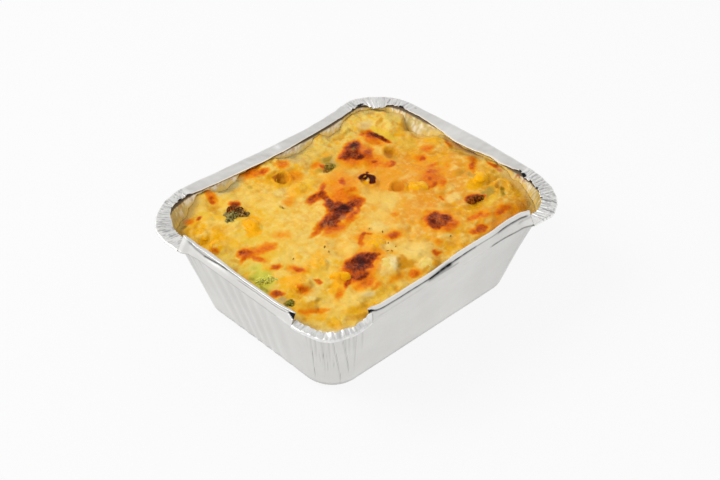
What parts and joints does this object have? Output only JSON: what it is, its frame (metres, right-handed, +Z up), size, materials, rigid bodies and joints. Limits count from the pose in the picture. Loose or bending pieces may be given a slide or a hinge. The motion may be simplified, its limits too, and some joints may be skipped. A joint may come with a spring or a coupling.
{
  "type": "baked pasta meal in a foil tray",
  "caption": "Baked pasta and vegetables under a browned cheese crust, in a tapered foil tray with rounded corners and a folded rim.",
  "frame": {"origin": "middle of the tray's underside, on the surface it stands on", "axes": "+X along the tray's long side, +Y along its short side, +Z up"},
  "size_m": [0.146, 0.1196, 0.0535],
  "materials": {
    "foil": "satin rolled aluminium foil with creases and pleats",
    "crust": "baked cheese, pale yellow to golden, with dark browned patches and an oily sheen",
    "corn": "moist sweetcorn skin",
    "broccoli": "cooked green buds, browned on top",
    "potato": "cooked potato, pale and slightly waxy",
    "pasta": "cooked macaroni, browned at its end"
  },
  "bodies": {
    "root": {"foil_tray": "foil", "pasta_bake": "crust", "corn_1": "corn", "corn_2": "corn", "corn_3": "corn", "corn_4": "corn", "corn_5": "corn", "corn_6": "corn", "corn_7": "corn", "corn_8": "corn", "corn_9": "corn", "corn_10": "corn", "broccoli_1": "broccoli", "broccoli_2": "broccoli", "broccoli_3": "broccoli", "broccoli_4": "broccoli", "broccoli_5": "broccoli", "potato_1": "potato", "potato_2": "potato", "potato_3": "potato", "macaroni_1": "pasta", "macaroni_2": "pasta", "macaroni_3": "pasta", "macaroni_4": "pasta", "macaroni_5": "pasta", "macaroni_6": "pasta"}
  },
  "joints": []
}
